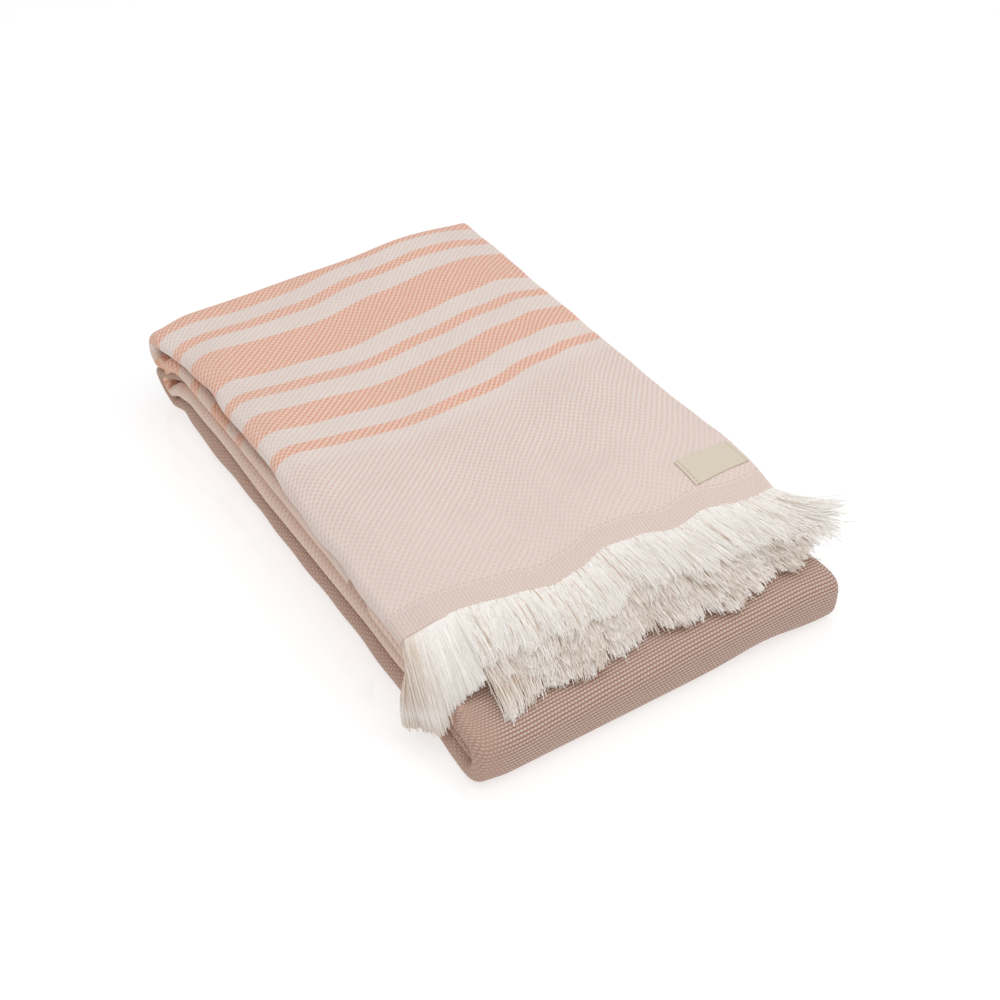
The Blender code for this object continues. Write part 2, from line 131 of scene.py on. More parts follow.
# How the weft bows: for each distance from the end, how far it lies back at each place across.
BOW_PLACES = (0.000, 0.050, 0.090, 0.150, 0.200, 0.225, 0.250)
WEFT_BOW = {0.000: (0.000, 0.000, 0.000, 0.000, 0.000, 0.000, 0.000),
            0.163: (0.007, 0.002, -0.001, 0.005, 0.015, 0.021, 0.024),
            0.273: (0.002, -0.002, -0.001, 0.008, 0.016, 0.020, 0.017),
            0.316: (-0.004, -0.006, -0.002, 0.011, 0.016, 0.017, 0.013),
            0.600: (0.000, 0.000, 0.000, 0.000, 0.000, 0.000, 0.000)}
WEFT_SLANT = 0.6            # how far the weft runs forward for each step down over the left edge
STRAIGHT_FROM = 0.030       # left of this the weft runs on evenly round the folds
CURL_TO = 0.050             # nearer the front than this the reverse curls in over both faces


def ease(value):
    """Smooth rise from 0 to 1."""
    value = min(max(value, 0.0), 1.0)
    return value * value * (3.0 - 2.0 * value)


def blend(low, high, share):
    return low + (high - low) * share


def between(rows, place):
    """A row of a table at one place, eased between its neighbours."""
    keys = sorted(rows)
    place = min(max(place, keys[0]), keys[-1])
    below = max(key for key in keys if key <= place)
    above = min(key for key in keys if key >= place)
    share = ease((place - below) / (above - below)) if above > below else 0.0
    return [blend(low, high, share) for low, high in zip(rows[below], rows[above])]


def ripple(place, *waves):
    """Unevenness along an edge: the sum of waves given as height, waves per metre and phase."""
    return sum(height * math.sin(place * rate * math.tau + phase) for height, rate, phase in waves)


def left_folds(leg, place):
    """The left side's fold values at one place of a leg, with the small waves of a soft edge."""
    folds = dict(zip(FOLD_COLUMNS, between(LEFT_FOLDS[leg], place)))
    if leg == "top":
        folds["right_x"] += ripple(place, (0.0007, 9.0, 0.4), (0.0004, 21.0, 2.0))
        folds["ply_1"] += ripple(place, (0.0009, 7.0, 1.1), (0.0004, 17.0, 0.2))
    elif leg == "bottom":
        folds["reverse_x"] += ripple(place, (0.0005, 8.0, 0.0), (0.0003, 23.0, 1.0))
    elif leg == "inner":
        folds["right_x"] += ripple(place, (0.0006, 6.0, 2.2), (0.0004, 19.0, 0.9))
    return folds


def second_height(y):
    """Middle of the second layer, which steps down in front of the hidden end."""
    return blend(INNER_Z, SECOND_Z, ease((y - STEP_FRONT) / (STEP_BACK - STEP_FRONT)))


def top_height(y):
    """Middle of the top layer, which rides on the second and lifts a little at its hem."""
    return second_height(y) + STRIP + HEM_LIFT * ease((STEP_BACK - y) / (STEP_BACK - HEM_END))


def hem_end(x):
    """The hem's end in y: it lies slightly askew."""
    return HEM_END + HEM_SKEW * (1.0 - 2.0 * x / FOLDED_WIDTH)


def hem_wave(x):
    """How far forward the hem's wavy edge lies."""
    return between(HEM_WAVER, x)[0]


def fold_point(centre_y, centre_z, facing, turn, radius, squareness):
    """A point of a half-round fold; facing is +1 at the back and -1 at the front."""
    out, up = math.sin(turn), math.cos(turn)
    scale = (abs(out) ** squareness + abs(up) ** squareness) ** (-1.0 / squareness)
    return centre_y + facing * radius * scale * out, centre_z + radius * scale * up


def sheet_point(leg, share, x, offset):
    """y and z of a strip point: share runs along the leg, offset across the four plies."""
    turn = math.pi * share
    if leg == "back_top":
        return fold_point(BACK_CENTRE, (TOP_Z + SECOND_Z) / 2, 1, turn, FOLD_RADIUS + offset, 2.0)
    if leg == "front":
        return fold_point(FRONT_CENTRE, (INNER_Z + BOTTOM_Z) / 2, -1, turn, FOLD_RADIUS - offset,
                          FRONT_SQUARENESS)
    if leg == "back_bottom":
        return fold_point(BACK_CENTRE, (INNER_Z + BOTTOM_Z) / 2, 1, math.pi - turn,
                          FOLD_RADIUS - offset, 2.0)
    if leg == "bottom":
        return blend(FRONT_CENTRE, BACK_CENTRE, share), BOTTOM_Z + offset
    if leg == "inner":
        return blend(BACK_CENTRE, INNER_END, share), INNER_Z - offset
    if leg == "top":
        y, height, up = blend(hem_end(x), BACK_CENTRE, share), top_height, 1.0
        y -= hem_wave(x) * (1.0 - ease(share / 0.16))
    else:
        y, height, up = blend(BACK_CENTRE, FRONT_CENTRE, share), second_height, -1.0
    step = 0.001
    slope = (height(y + step) - height(y - step)) / (2 * step)
    lean = up * offset / math.hypot(1.0, slope)
    sideways = ease(share / 0.15) if leg == "top" else 1.0
    return y - slope * lean * sideways, height(y) + lean


def settle(x, y, z):
    """The stack's soft unevenness: a valley left of the middle, a crown, a drooping right side."""
    near_hem, near_back = ease((0.150 - y) / 0.085), ease((y - 0.300) / 0.090)
    valley = -0.0030 * math.exp(-((x - 0.100) / 0.050) ** 2) * (1.0 - near_back)
    crown = blend(0.0010, 0.0028, near_back) * math.exp(-((x - 0.195) / 0.035) ** 2)
    droop = -0.0035 * ease((x - 0.222) / 0.034) * (1.0 - 0.6 * near_back)
    tilt = near_hem * blend(-0.0025, 0.0055, x / FOLDED_WIDTH)
    corner = ease((0.030 - x) / 0.032) * ease((y - 0.345) / 0.045)
    rumple = ripple(x + 0.4 * y, (0.00035, 11.0, 1.0)) + ripple(y - 0.3 * x, (0.00030, 14.0, 2.0),
                                                               (0.00020, 31.0, 0.5))
    share = max(z, 0.0) / STACK
    lift = 0.0035 * math.exp(-((x - 0.195) / 0.026) ** 2) * ease((0.045 - y) / 0.040)
    low = max(1.0 - share * 2.0, 0.0)
    pinch = 0.0050 * corner * math.sin(math.pi * min(share, 1.0)) - 0.0035 * corner * share
    return z + (valley + crown + droop + tilt + rumple) * share ** 1.5 + lift * low + pinch


def drift(x, y):
    """How far the folds' ends stray in y from straight lines."""
    front = -0.003 * ease((0.060 - y) / 0.050) * ease((x + 0.004) / 0.024)
    front -= 0.0015 * ease((0.060 - y) / 0.050) * ease((x - 0.200) / 0.035)
    back = 0.003 * ease((y - 0.300) / 0.100) * ease(x / 0.150)
    back -= 0.004 * ease((y - 0.345) / 0.060) * ease((0.026 - x) / 0.028)
    return front + back


def left_turn(left_x, upper, upper_shift, lower, lower_shift):
    """A half-round left fold from one ply to the other, with its centre's x."""
    reach = min(abs(upper + upper_shift - lower - lower_shift) / 2, 0.006)
    centre = left_x + reach
    zone = ease((EDGE_ZONE - centre) / EDGE_ZONE)
    first, last = upper + upper_shift * zone, lower + lower_shift * zone
    turns = [math.pi * i / TURN_STEPS for i in range(TURN_STEPS + 1)]
    middle, half = (first + last) / 2, (first - last) / 2
    return centre, [(centre - reach * math.sin(t), middle + half * math.cos(t)) for t in turns]


def section(folds, flat_steps, edge_steps):
    """Centre line of the plies as (stretch, x, offset), from the top ply's right selvedge."""
    levels = [1.5 * PITCH, 0.5 * PITCH, -1.5 * PITCH, -0.5 * PITCH]
    right_c, right_arc = left_turn(folds["right_x"], levels[0], folds["ply_0"], levels[1],
                                   folds["ply_1"])
    reverse_c, reverse_arc = left_turn(folds["reverse_x"], levels[2], folds["ply_2"], levels[3],
                                       folds["ply_3"])
    turn_x = FOLDED_WIDTH - PITCH
    right_turn = [(turn_x + PITCH * math.sin(math.pi * i / 8),
                   -0.5 * PITCH + PITCH * math.cos(math.pi * i / 8)) for i in range(1, 8)]
    runs = []
    ends = ((FOLDED_WIDTH - SELVEDGE, right_c), (turn_x, right_c), (turn_x, reverse_c),
            (FOLDED_WIDTH - 2 * PITCH, reverse_c))
    for ply, (start, end) in enumerate(ends):
        knee = max(EDGE_ZONE + 0.004, end + 0.006)
        places = [blend(start, knee, i / flat_steps[ply]) for i in range(flat_steps[ply])]
        places += [blend(knee, end, i / edge_steps) for i in range(edge_steps)]
        shift = folds["ply_%d" % ply]
        runs.append([(x, levels[ply] + shift * ease((EDGE_ZONE - x) / EDGE_ZONE)) for x in places])
    stretches = (("ply_0", runs[0]), ("lip", right_arc), ("ply_1", runs[1][::-1]),
                 ("right", right_turn), ("ply_2", runs[2]), ("curl", reverse_arc),
                 ("ply_3", runs[3][::-1]))
    return [(name, x, offset) for name, points in stretches for x, offset in points]


def placed(x, y, z):
    """A point of the flat-lying stack, settled and moved to the towel's own frame."""
    return Vector((x - MIDDLE_X, y + drift(x, y) - MIDDLE_Y, settle(x, y, z)))


def face_normals(line):
    """For each point of a centre line, the way from its reverse side to its right side."""
    normals = []
    for i, (_, x, offset) in enumerate(line):
        before, after = line[max(i - 1, 0)], line[min(i + 1, len(line) - 1)]
        into = Vector((x - before[1], offset - before[2]))
        out = Vector((after[1] - x, after[2] - offset))
        into = into.normalized() if into.length > 0 else out.normalized()
        out = out.normalized() if out.length > 0 else into
        along = (into + out).normalized()
        normals.append(Vector((along.y, -along.x)) / max(along.dot(out), 0.75))
    return normals


def even_gains(line, gains):
    """Lets the weft run straight on round the left folds: they gain what their plies gain."""
    nearest = {}
    for (name, x, _), gain in zip(line, gains):
        if name.startswith("ply") and x >= STRAIGHT_FROM:
            nearest[name] = min(nearest.get(name, (x, gain)), (x, gain))
    arcs = {"lip": ("ply_0", "ply_1"), "curl": ("ply_2", "ply_3")}
    evened, turned = [], 0
    for (name, x, _), gain in zip(line, gains):
        turned = turned + 1 if name in arcs else 0
        if name in arcs:
            first, last = (nearest[ply][1] for ply in arcs[name])
            evened.append(blend(first, last, turned / (TURN_STEPS + 2)))
        elif name in nearest and x < STRAIGHT_FROM:
            evened.append(nearest[name][1])
        else:
            evened.append(gain)
    return evened


def weft_bow(x, from_end):
    """How far back the weft lies at a place across, for a distance from the cloth's end."""
    row = between(WEFT_BOW, from_end)
    columns = {place: (value,) for place, value in zip(BOW_PLACES, row)}
    return between(columns, x)[0]


def kept(mesh, name):
    """The finished edit mesh as an object of the scene."""
    data = bpy.data.meshes.new(name)
    mesh.to_mesh(data)
    mesh.free()
    piece = bpy.data.objects.new(name, data)
    bpy.context.scene.collection.objects.link(piece)
    return piece


def weave_cloth():
    """The swept sheet, with its flat measures in a UV map: across the cloth, and from its end."""
    rings, flats, curled = [], [], []
    for leg, (begin, end, steps) in LEGS.items():
        for i in range(0 if leg == "top" else 1, steps + 1):
            share = i / steps
            line = section(left_folds(leg, blend(begin, end, share)), FLAT_STEPS, EDGE_STEPS)
            centre = [placed(x, *sheet_point(leg, share, x, offset)) for _, x, offset in line]
            across = [0.0]
            for before, after in zip(line, line[1:]):
                across.append(across[-1] + math.hypot(after[1] - before[1], after[2] - before[2]))
            along = [0.0] * len(line)
            if rings:
                gains = [(here - there).length for here, there in zip(centre, rings[-1][2])]
                if leg != "top":
                    gains = even_gains(line, gains)
                along = [far + gain for far, gain in zip(rings[-1][3], gains)]
            sides = []
            for facing in (-1, 1):
                side = []
                for (_, x, offset), normal in zip(line, face_normals(line)):
                    out = facing * normal * CLOTH / 2
                    side.append(placed(x + out.x, *sheet_point(leg, share, x + out.x,
                                                               offset + out.y)))
                sides.append(side)
            rings.append((line, sides, centre, along))
            curled.append(leg == "front" or leg in ("second", "bottom")
                          and blend(begin, end, share) < CURL_TO)
            flats.append(across)
    length = rings[-1][3][FLAT_STEPS[0] // 2]
    mesh = bmesh.new()
    weave = mesh.loops.layers.uv.new("weave")
    corners, measures = [], {}
    for (line, sides, _, along), across in zip(rings, flats):
        corners.append([mesh.verts.new(point) for point in sides[0] + sides[1][::-1]])
        edge = across[FLAT_STEPS[0] + EDGE_STEPS] - 0.003
        for side in (corners[-1][: len(line)], corners[-1][:len(line) - 1:-1]):
            for vertex, (_, x, _), far, run in zip(side, line, across, along):
                from_end = min(run, length - run)
                bow = weft_bow(min(x, FOLDED_WIDTH), from_end)
                bow -= (WEFT_SLANT * min(max(far - edge, 0.0), 0.028) * ease(from_end / 0.06)
                        * ease((0.600 - from_end) / 0.200))
                run -= HEM_SKEW * (2.0 * x / FOLDED_WIDTH - 1.0) * ease((run - 0.400) / 0.250)
                run -= hem_wave(x) * ease((run - 0.030) / 0.110)
                measures[vertex] = (far, run - bow if run < length / 2 else run + bow)
    points = len(corners[0])
    for first, second, turned in zip(corners, corners[1:], curled):
        for i in range(points):
            j = (i + 1) % points
            face = mesh.faces.new((first[i], first[j], second[j], second[i]))
            face.material_index = 1 if j < points // 2 or turned else 0
    for ring in (corners[0], corners[-1]):
        for i in range(points // 2 - 1):
            mesh.faces.new((ring[i], ring[i + 1], ring[points - 2 - i], ring[points - 1 - i]))
    for face in mesh.faces:
        face.smooth = True
        for loop in face.loops:
            loop[weave].uv = measures[loop.vert]
    bmesh.ops.recalc_face_normals(mesh, faces=mesh.faces)
    if mesh.calc_volume(signed=True) < 0:
        bmesh.ops.reverse_faces(mesh, faces=mesh.faces)
    return kept(mesh, "towel_cloth_woven"), length


class Wire:
    """One output of a shader node. Arithmetic on it adds Math nodes, and node() any other."""

    def __init__(self, tree, socket):
        self.tree, self.socket = tree, socket

    def node(self, kind, settings, inputs, output=0):
        """Adds a node: its settings, then its inputs by name or number, as values or wires."""
        node = self.tree.nodes.new(kind)
        for name, value in settings.items():
            setattr(node, name, value)
        for key, value in inputs.items():
            if isinstance(value, Wire):
                self.tree.links.new(value.socket, node.inputs[key])
            else:
                node.inputs[key].default_value = value
        return Wire(self.tree, node.outputs[output])

    def math(self, operation, *values):
        return self.node("ShaderNodeMath", {"operation": operation}, dict(enumerate(values)))

    def __add__(self, other):
        return self.math("ADD", self, other)

    def __sub__(self, other):
        return self.math("SUBTRACT", self, other)

    def __rsub__(self, other):
        return self.math("SUBTRACT", other, self)

    def __mul__(self, other):
        return self.math("MULTIPLY", self, other)

    def __truediv__(self, other):
        return self.math("DIVIDE", self, other)

    def smooth(self, low, high):
        """0 below low, 1 above high and a smooth step between; low may be the larger."""
        return self.node("ShaderNodeMapRange", {"interpolation_type": "SMOOTHSTEP"},
                         {"Value": self, "From Min": low, "From Max": high})

    def size(self):
        return self.math("ABSOLUTE", self)

    def wave(self, pitch):
        """A sine that comes round once in each pitch."""
        return self.math("SINE", self * (math.tau / pitch))

    def axis(self, name):
        """One of a vector's three values."""
        return self.node("ShaderNodeSeparateXYZ", {}, {"Vector": self}, output=name)

    def off_grid(self):
        """Distance from the nearest whole number, with its sign."""
        return self - self.math("ROUND", self)

    def mix(self, low, high):
        """From one colour to another as this value goes from 0 to 1."""
        colours = [(*c, 1.0) if isinstance(c, tuple) else c for c in (low, high)]
        return self.node("ShaderNodeMix", {"data_type": "RGBA"},
                         {0: self, 6: colours[0], 7: colours[1]}, output=2)

    def noise(self, vector, scale):
        return self.node("ShaderNodeTexNoise", {}, {"Vector": vector, "Scale": scale,
                                                    "Detail": 2.0})

    def grain(self, x, y, scale=1.0):
        """Noise over the plane of two values."""
        return self.noise(self.node("ShaderNodeCombineXYZ", {}, {"X": x, "Y": y}), scale)


def plain_colour(red, green, blue):
    """A colour given in the 0 to 255 of a paint chart, as the shader's linear one."""
    return tuple(((c / 255 + 0.055) / 1.055) ** 2.4 for c in (red, green, blue))


def cotton(name, roughness):
    """A matte fibre material, with a wire to start from and its shader."""
    material = bpy.data.materials.new(name)
    material.use_nodes = True
    tree = material.node_tree
    shader = tree.nodes["Principled BSDF"]
    shader.inputs["Roughness"].default_value = roughness
    shader.inputs["Specular IOR Level"].default_value = 0.2
    shader.inputs["Sheen Weight"].default_value = 0.15
    shader.inputs["Sheen Roughness"].default_value = 0.5
    return material, Wire(tree, None), shader


def finish_cotton(start, shader, colour, height, depth):
    """Links a cotton's colour and its relief to the shader."""
    start.tree.links.new(colour.socket, shader.inputs["Base Color"])
    relief = start.node("ShaderNodeBump", {}, {"Strength": 0.6, "Distance": depth,
                                               "Height": height})
    start.tree.links.new(relief.socket, shader.inputs["Normal"])


WEAVE_ACROSS, WEAVE_ALONG = 0.00455, 0.0042   # one repeat of the bird's-eye weave
FLOAT_SHARES = (0.38, 0.155)                  # half of a white warp float, in shares of a repeat
KNOT_SHARES = (0.34, 0.150)                   # half of the darker knot between two floats
# Stripes, as the distance of each one's middle from the cloth's end and half its width.
STRIPES = ((0.1625, 0.0048), (0.1965, 0.0112), (0.2305, 0.0048), (0.2715, 0.0190),
           (0.3125, 0.0048), (0.3440, 0.0116), (0.3805, 0.0048))
STRIPE_ZONE = (0.150, 0.395)                  # where the ground is whiter
HIDDEN_END_STRIPES = 0.295                    # the hidden end shows none further in than this
HEM_BAND = 0.0150                             # width of the flat hem
HEM_DOT_PITCH, RED_DASH = (0.00217, 0.0018), 0.00228   # of the hem's dots and its red line
PINK, PINK_DEEP = plain_colour(233, 215, 206), plain_colour(217, 183, 170)
PALE, PALE_DEEP = plain_colour(236, 221, 213), plain_colour(222, 198, 187)
ORANGE, ORANGE_DEEP = plain_colour(238, 189, 167), plain_colour(214, 142, 113)
PINK_FLOAT, ORANGE_FLOAT = plain_colour(242, 232, 225), plain_colour(249, 228, 217)
HEM_GROUND, HEM_DOT = plain_colour(230, 213, 204), plain_colour(220, 184, 171)
# The second colour here is painted warm shade, for the soft folds low at the left.
SHADING, PAINTED_WARM_SHADE = plain_colour(206, 188, 178), plain_colour(222, 168, 128)
HEM_LINE, HEM_RED = plain_colour(232, 221, 215), plain_colour(218, 176, 161)


def painted_fold_shade(start):
    """How near a place is to the soft folds low at the left, where warm shade is painted into the
    cloth's colour.
    """
    place = start.node("ShaderNodeTexCoord", {}, {}, output="Object")
    return place.axis("X").smooth(-0.108, -0.120) * place.axis("Z").smooth(0.052, 0.045)


def right_side(length):
    """The face that shows: pale bird's-eye weave, orange stripes and flat hem bands."""
    material, start, shader = cotton("right side of the cloth", 0.9)
    flat = start.node("ShaderNodeUVMap", {"uv_map": "weave"}, {})
    across, run = flat.axis("X"), flat.axis("Y")
    from_end = run.math("MINIMUM", run, length - run)
    slubs = start.grain(across * 160.0, run * 480.0)
    shading = start.grain(across, run, 24.0)
    wander = start.grain(across * 300.0, run * 300.0) - 0.5
    twill = across / WEAVE_ACROSS - run / WEAVE_ALONG
    rise = across / WEAVE_ACROSS + run / WEAVE_ALONG

    def blobs(offset, shares):
        """Nearness to the middle of a float, which lies aslant in each of the weave's cells."""
        a = (twill + wander * 0.30 + offset).off_grid() / shares[0]
        b = (rise + wander * 0.18 + offset).off_grid() / shares[1]
        return (a * a + b * b).smooth(1.7, 0.2)

    floats, knots = blobs(0.0, FLOAT_SHARES), blobs(0.5, KNOT_SHARES)
    stripe = None
    for middle, half in STRIPES:
        edge = from_end + floats * 0.0005 - middle
        one = edge.size().smooth(half + 0.0005, half - 0.0005)
        stripe = one if stripe is None else stripe.math("MAXIMUM", stripe, one)
    far_half = run.smooth(length / 2 - 0.01, length / 2 + 0.01)
    stripe = stripe * (1.0 - far_half * from_end.smooth(HIDDEN_END_STRIPES,
                                                        HIDDEN_END_STRIPES + 0.001))
    zone_middle, zone_half = sum(STRIPE_ZONE) / 2, (STRIPE_ZONE[1] - STRIPE_ZONE[0]) / 2
    zone = (from_end - zone_middle).size().smooth(zone_half + 0.010, zone_half - 0.002)
    ground = stripe.mix(zone.mix(PINK, PALE), ORANGE)
    deep = stripe.mix(zone.mix(PINK_DEEP, PALE_DEEP), ORANGE_DEEP)
    light = stripe.mix(PINK_FLOAT, ORANGE_FLOAT)
    strength = 1.0 - from_end.smooth(0.120, 0.040) * 0.45
    body = (knots * strength * (slubs * 0.8 + 0.45)).mix(ground, deep)
    body = (floats * strength * (slubs * 0.9 + 0.40)).mix(body, light)

    dots = across.wave(HEM_DOT_PITCH[0]) * 0.5 + 0.5
    dots = dots * (run.wave(HEM_DOT_PITCH[1]) * 0.35 + 0.65)
    band = dots.smooth(0.35, 0.95).mix(HEM_GROUND, HEM_DOT)
    line = (from_end - HEM_BAND).size().smooth(0.0007, 0.0002)
    red = (from_end - (HEM_BAND + 0.0016)).size().smooth(0.0010, 0.0003)
    red = red * across.wave(RED_DASH).smooth(-0.2, 0.6)
    in_hem = from_end.smooth(HEM_BAND + 0.0002, HEM_BAND - 0.0002)
    colour = in_hem.mix(body, band)
    colour = (red * 0.6).mix(colour, HEM_RED)
    colour = (line * 0.7).mix(colour, HEM_LINE)
    colour = (shading.smooth(0.3, 0.7) * 0.10).mix(colour, SHADING)
    # Painted warm shade over the soft folds low at the left.
    colour = (painted_fold_shade(start) * 0.28).mix(colour, PAINTED_WARM_SHADE)

    weft = run.math("COSINE", run * (math.tau * 4 / WEAVE_ALONG))
    height = floats * 0.7 - knots * 0.3 + weft * 0.12 + slubs * 0.3 - in_hem * 0.6 + line * 0.5
    finish_cotton(start, shader, colour, height, 0.0006)
    return material


RIB_PITCH = 0.0021                            # of the reverse side's ribs
RIB_DASH = 0.00228                            # along a rib, from one dark dash to the next
RIB_PALE, RIB_GAP = plain_colour(204, 189, 178), plain_colour(184, 152, 137)
# Painted brown shade, for the soft folds low at the left.
PAINTED_BROWN_SHADE = plain_colour(183, 121, 89)
RIB_MID, RIB_DARK = plain_colour(190, 154, 138), plain_colour(154, 94, 72)


def reverse_side():
    """The reverse: fine ribs across the cloth, greige with dashes of terracotta between them."""
    material, start, shader = cotton("reverse of the cloth", 0.92)
    flat = start.node("ShaderNodeUVMap", {"uv_map": "weave"}, {})
    across, run = flat.axis("X"), flat.axis("Y")
    slubs = start.grain(across * 260.0, run * 700.0)
    rib = (run / RIB_PITCH).off_grid().size() * 2.0
    row = (run / RIB_PITCH).math("ROUND", run / RIB_PITCH) * 0.5
    dash = (across / RIB_DASH + row).off_grid().size()
    # The mask of painted shade low at the left: there it lowers the ribs' contrast and mixes in
    # painted brown shade.
    side = painted_fold_shade(start)
    ridge = (dash.smooth(0.24, 0.06) * 0.9).mix(RIB_PALE, RIB_GAP)
    dark = dash.smooth(0.36, 0.22) * (slubs * 0.7 + 0.55) * (1.0 - side * 0.5)
    groove = dark.mix(RIB_MID, RIB_DARK)
    colour = (rib.smooth(0.38, 0.72) * (1.0 - side * 0.3)).mix(ridge, groove)
    colour = (side * 0.25).mix(colour, PAINTED_BROWN_SHADE)
    height = (1.0 - rib * rib) * 0.8 + slubs * 0.4
    finish_cotton(start, shader, colour, height, 0.0007)
    return material


cloth, cloth_length = weave_cloth()
cloth.data.materials.append(right_side(cloth_length))
cloth.data.materials.append(reverse_side())
cloth.data.set_sharp_from_angle(angle=math.radians(60))
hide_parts("towel_cloth")
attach(cloth, "root")

# --- The fringe that shows ----------------------------------------------------------------------
# Past the hem's last row of weft the warp runs on as loose undyed yarns, about 4.6 cm long. The
# four plies give four tiers: the top one lies over the rest and, at the left, falls over the
# folds; the lower ones show their cut ends under it, one behind another.

YARN = 0.00025              # radius of a yarn
# Each tier: yarns, how far they reach forward, height of their ends, the same two at the far
# right, how far they fan out there, and how much painted shade its yarns carry.
TIERS = {"ply_0": (3000, 0.0335, 0.0505, 0.0300, 0.0570, 0.0300, 0.20),
         "ply_1": (1500, 0.0405, 0.0455, 0.0400, 0.0440, 0.0180, 0.80),
         "ply_3": (1600, 0.0455, 0.0410, 0.0400, 0.0415, 0.0100, 0.90),
         "ply_2": (1900, 0.0505, 0.0365, 0.0390, 0.0395, 0.0040, 1.00)}
FAN_LOW = (0.0440, 0.0120, 0.0420)   # reach, fan and height of the lowest yarns of the right fan
SHADED_YARN_SHARE = 0.10            # of the yarns are painted tan as shade, as if seen in the gaps
# How much further out, lower and to the right the lower tiers end, for each place across: all
# three for the lowest tier, and for the two above it only where they end less far out.
TIER_WAVER = {0.022: (0.000, 0.000, 0.000), 0.034: (0.013, 0.002, -0.010),
              0.046: (0.010, 0.001, -0.006), 0.062: (0.000, 0.000, 0.000),
              0.112: (-0.003, 0.000, 0.000), 0.145: (0.004, 0.000, 0.000),
              0.165: (0.001, 0.000, 0.000), 0.195: (-0.004, 0.000, 0.000),
              0.220: (-0.007, 0.000, 0.000), 0.250: (-0.005, 0.000, 0.000)}
SWAY_LEFT, SWAY_RIGHT = -0.0065, 0.0060   # how the yarns lean at the left and past the middle
TUFT = 0.0062               # width of the tufts that the yarns gather in
STRAY_SHARE = 0.05          # of the yarns lie across the others
PAINTED_YARN_GLOW = 0.12            # painted glow, standing in for light that passes through the thin yarns
LIP_YARNS = 1250            # that fall over the left folds
LIP_START = 0.028           # they begin this far from the left side
# Where the falling yarns end, from the first, which still lies on the layers, to the last one
# round the fold, which hangs down the side. They fall in two bunches.
DRAPE_TIPS = {0.00: (0.0250, 0.0361, 0.0430), 0.20: (0.0160, 0.0365, 0.0380),
              0.38: (0.0075, 0.0375, 0.0290), 0.50: (0.0020, 0.0350, 0.0220),
              0.62: (-0.0040, 0.0335, 0.0175), 0.80: (-0.0080, 0.0445, 0.0140),
              1.00: (-0.0155, 0.0535, 0.0130)}
BUNCHES = ((0.25, 0.48, 0.38), (0.48, 1.01, 0.78))   # first and last yarn, and the middle


def curve_point(handles, share):
    """A point of a cubic curve with four handles."""
    rest = 1.0 - share
    weights = (rest ** 3, 3 * rest * rest * share, 3 * rest * share * share, share ** 3)
    return sum((handle * weight for handle, weight in zip(handles, weights)), Vector())


def comb_tufts(chance):
    """Each tuft's lean, extra reach and height, and how closely its yarns gather."""
    return [(chance.gauss(0, 0.0014), chance.gauss(0, 0.0011), chance.gauss(0, 0.0007),
             chance.uniform(0.0, 0.42)) for _ in range(48)]


def tier_handles(tier, tufts, root, chance):
    """Handles of one yarn that lies forward over the layers below and turns down at its end."""
    _, reach, tip_z, right_reach, right_z, fan, shade = tier
    place = root.x / TUFT + 0.35 * math.sin(root.x * 290.0)
    lean, longer, higher, gather = tufts[int(place) % len(tufts)]
    right = ease((root.x - 0.212) / 0.038)
    left = ease((0.060 - root.x) / 0.032)
    reach = blend(reach, right_reach, right) + longer + chance.gauss(0.0, 0.0017)
    reach += ripple(root.x, (0.0012, 11.0, 2.0), (0.0009, 37.0, 0.0))
    further, down, aside = between(TIER_WAVER, root.x) if shade > 0.5 else (0.0, 0.0, 0.0)
    if shade < 1.0:                       # above the lowest tier they can only fall shorter
        further, down, aside = min(further, 0.0), 0.0, 0.0
    reach += further
    sway = blend(blend(SWAY_LEFT, SWAY_RIGHT, ease((root.x - 0.075) / 0.130)), 0.0, left)
    sway += lean + gather * TUFT * (int(place) + 0.5 - place) + aside
    if shade < 0.5:
        low = chance.random() ** 1.6
        fan, right_z = blend(fan, FAN_LOW[1], low), blend(right_z, FAN_LOW[2], low)
        reach = blend(reach, FAN_LOW[0], low * right)
    sway = blend(sway, fan * chance.uniform(0.80, 1.1), right) + chance.gauss(0.0, 0.0017)
    height = blend(tip_z, right_z, right) - 0.0035 * left + higher + chance.gauss(0.0, 0.0014)
    height -= down
    if chance.random() < STRAY_SHARE:
        sway, height = sway + chance.gauss(0.0, 0.006), height + 0.0012
    tip = Vector((root.x + sway, root.y - reach, height))
    fall = root.z - height
    leave = root + Vector((0.10 * sway + chance.gauss(0.0, 0.0013), -0.40 * reach,
                           chance.uniform(-0.0004, 0.0020)))
    arrive = Vector((root.x + 0.75 * sway + chance.gauss(0.0, 0.0022), root.y - 0.97 * reach,
                     height + 0.62 * fall + chance.gauss(0.0, 0.0007)))
    return root, leave, arrive, tip


def drape_handles(root, share, chance):
    """Handles of one yarn that falls over the left folds."""
    gathered = share
    for first, last, middle in BUNCHES:
        if first <= share < last:
            gathered = blend(share, middle, 0.14)
    tip = Vector(between(DRAPE_TIPS, gathered))
    tip += Vector((chance.gauss(0, 0.0010), chance.gauss(0, 0.0014), chance.gauss(0, 0.0012)))
    turned = ease(share * 1.5)
    leave = root + Vector((blend(chance.gauss(0, 0.0006), -0.005, turned), -0.013,
                           chance.uniform(0.0, 0.0015)))
    arrive = tip + Vector((blend(0.0, -0.0015, turned), 0.006,
                           0.004 + 0.015 * ease(share * 2.0)))
    return root, leave, arrive, tip


